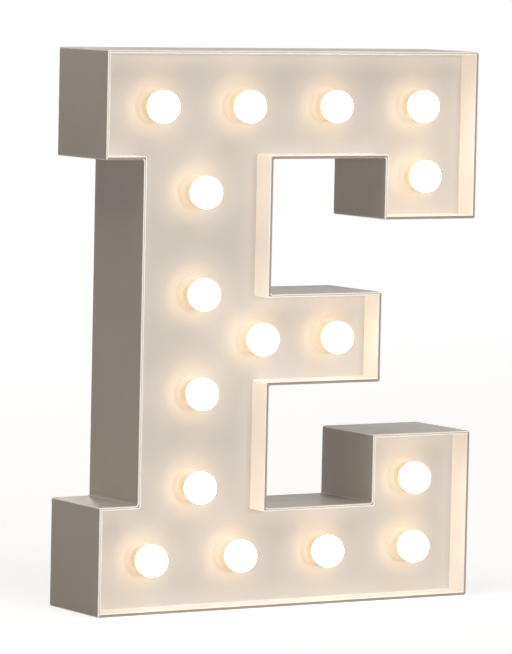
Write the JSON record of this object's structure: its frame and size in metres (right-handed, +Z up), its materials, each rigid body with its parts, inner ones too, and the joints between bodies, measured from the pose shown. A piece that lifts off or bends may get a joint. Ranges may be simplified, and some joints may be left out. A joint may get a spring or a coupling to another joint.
{
  "type": "light-up letter",
  "caption": "Free-standing slab-serif letter E, a deep moulded tray with round globe lamps on its recessed face, battery compartment, slide switch and keyholes at the back.",
  "frame": {"origin": "middle of the flat base of the letter, halfway between the front and back rims", "axes": "+Z up the letter, -Y out of the lit face towards the viewer, +X to the viewer's right"},
  "size_m": [0.172, 0.0424, 0.22],
  "materials": {
    "letter_plastic": "fine satin mould texture",
    "cover_plastic": "fine satin mould texture",
    "globe_frosted": "frosted, lit from inside",
    "led_resin": "clear resin",
    "clip_plastic": "moulded",
    "wire_red": "insulated",
    "wire_black": "insulated",
    "tray_plastic": "moulded",
    "cell_jacket": "plain printed sleeve",
    "contact_metal": "nickel plated",
    "switch_metal": "plated",
    "switch_plastic": "moulded",
    "screw_steel": "zinc plated"
  },
  "bodies": {
    "letter": {"front_shell": "letter_plastic", "back_cover": "cover_plastic", "cover_screws": "screw_steel", "tray_screws": "screw_steel", "switch_screws": "screw_steel", "bulb_clips": "clip_plastic", "led_plugs": "clip_plastic", "wire_positive": "wire_red", "switch_lead": "wire_red", "wire_negative": "wire_black", "battery_tray": "tray_plastic", "cell_left": "cell_jacket", "cell_right": "cell_jacket", "contact_positive": "contact_metal", "contact_negative": "contact_metal", "contact_bridge": "contact_metal", "spring_negative": "contact_metal", "spring_bridge": "contact_metal", "switch_terminals": "contact_metal", "switch_bracket": "switch_metal", "switch_body": "switch_plastic", "bulb_globe_01": "globe_frosted", "bulb_globe_02": "globe_frosted", "bulb_globe_03": "globe_frosted", "bulb_globe_04": "globe_frosted", "bulb_globe_05": "globe_frosted", "bulb_globe_06": "globe_frosted", "bulb_globe_07": "globe_frosted", "bulb_globe_08": "globe_frosted", "bulb_globe_09": "globe_frosted", "bulb_globe_10": "globe_frosted", "bulb_globe_11": "globe_frosted", "bulb_globe_12": "globe_frosted", "bulb_globe_13": "globe_frosted", "bulb_globe_14": "globe_frosted", "bulb_globe_15": "globe_frosted", "bulb_globe_16": "globe_frosted", "led_01": "led_resin", "led_02": "led_resin", "led_03": "led_resin", "led_04": "led_resin", "led_05": "led_resin", "led_06": "led_resin", "led_07": "led_resin", "led_08": "led_resin", "led_09": "led_resin", "led_10": "led_resin", "led_11": "led_resin", "led_12": "led_resin", "led_13": "led_resin", "led_14": "led_resin", "led_15": "led_resin", "led_16": "led_resin"},
    "door": {"battery_door": "cover_plastic"},
    "slider": {"switch_slider": "switch_plastic"}
  },
  "joints": [
    {"name": "door_hinge", "type": "hinge", "parent": "letter", "child": "door", "pos_m": [-0.0395, 0.0155, 0.13235], "axis": [1, 0, 0], "range_deg": [0, 95]},
    {"name": "switch_slide", "type": "slide", "parent": "letter", "child": "slider", "axis": [1, 0, 0], "range_m": [0, 0.004]}
  ]
}
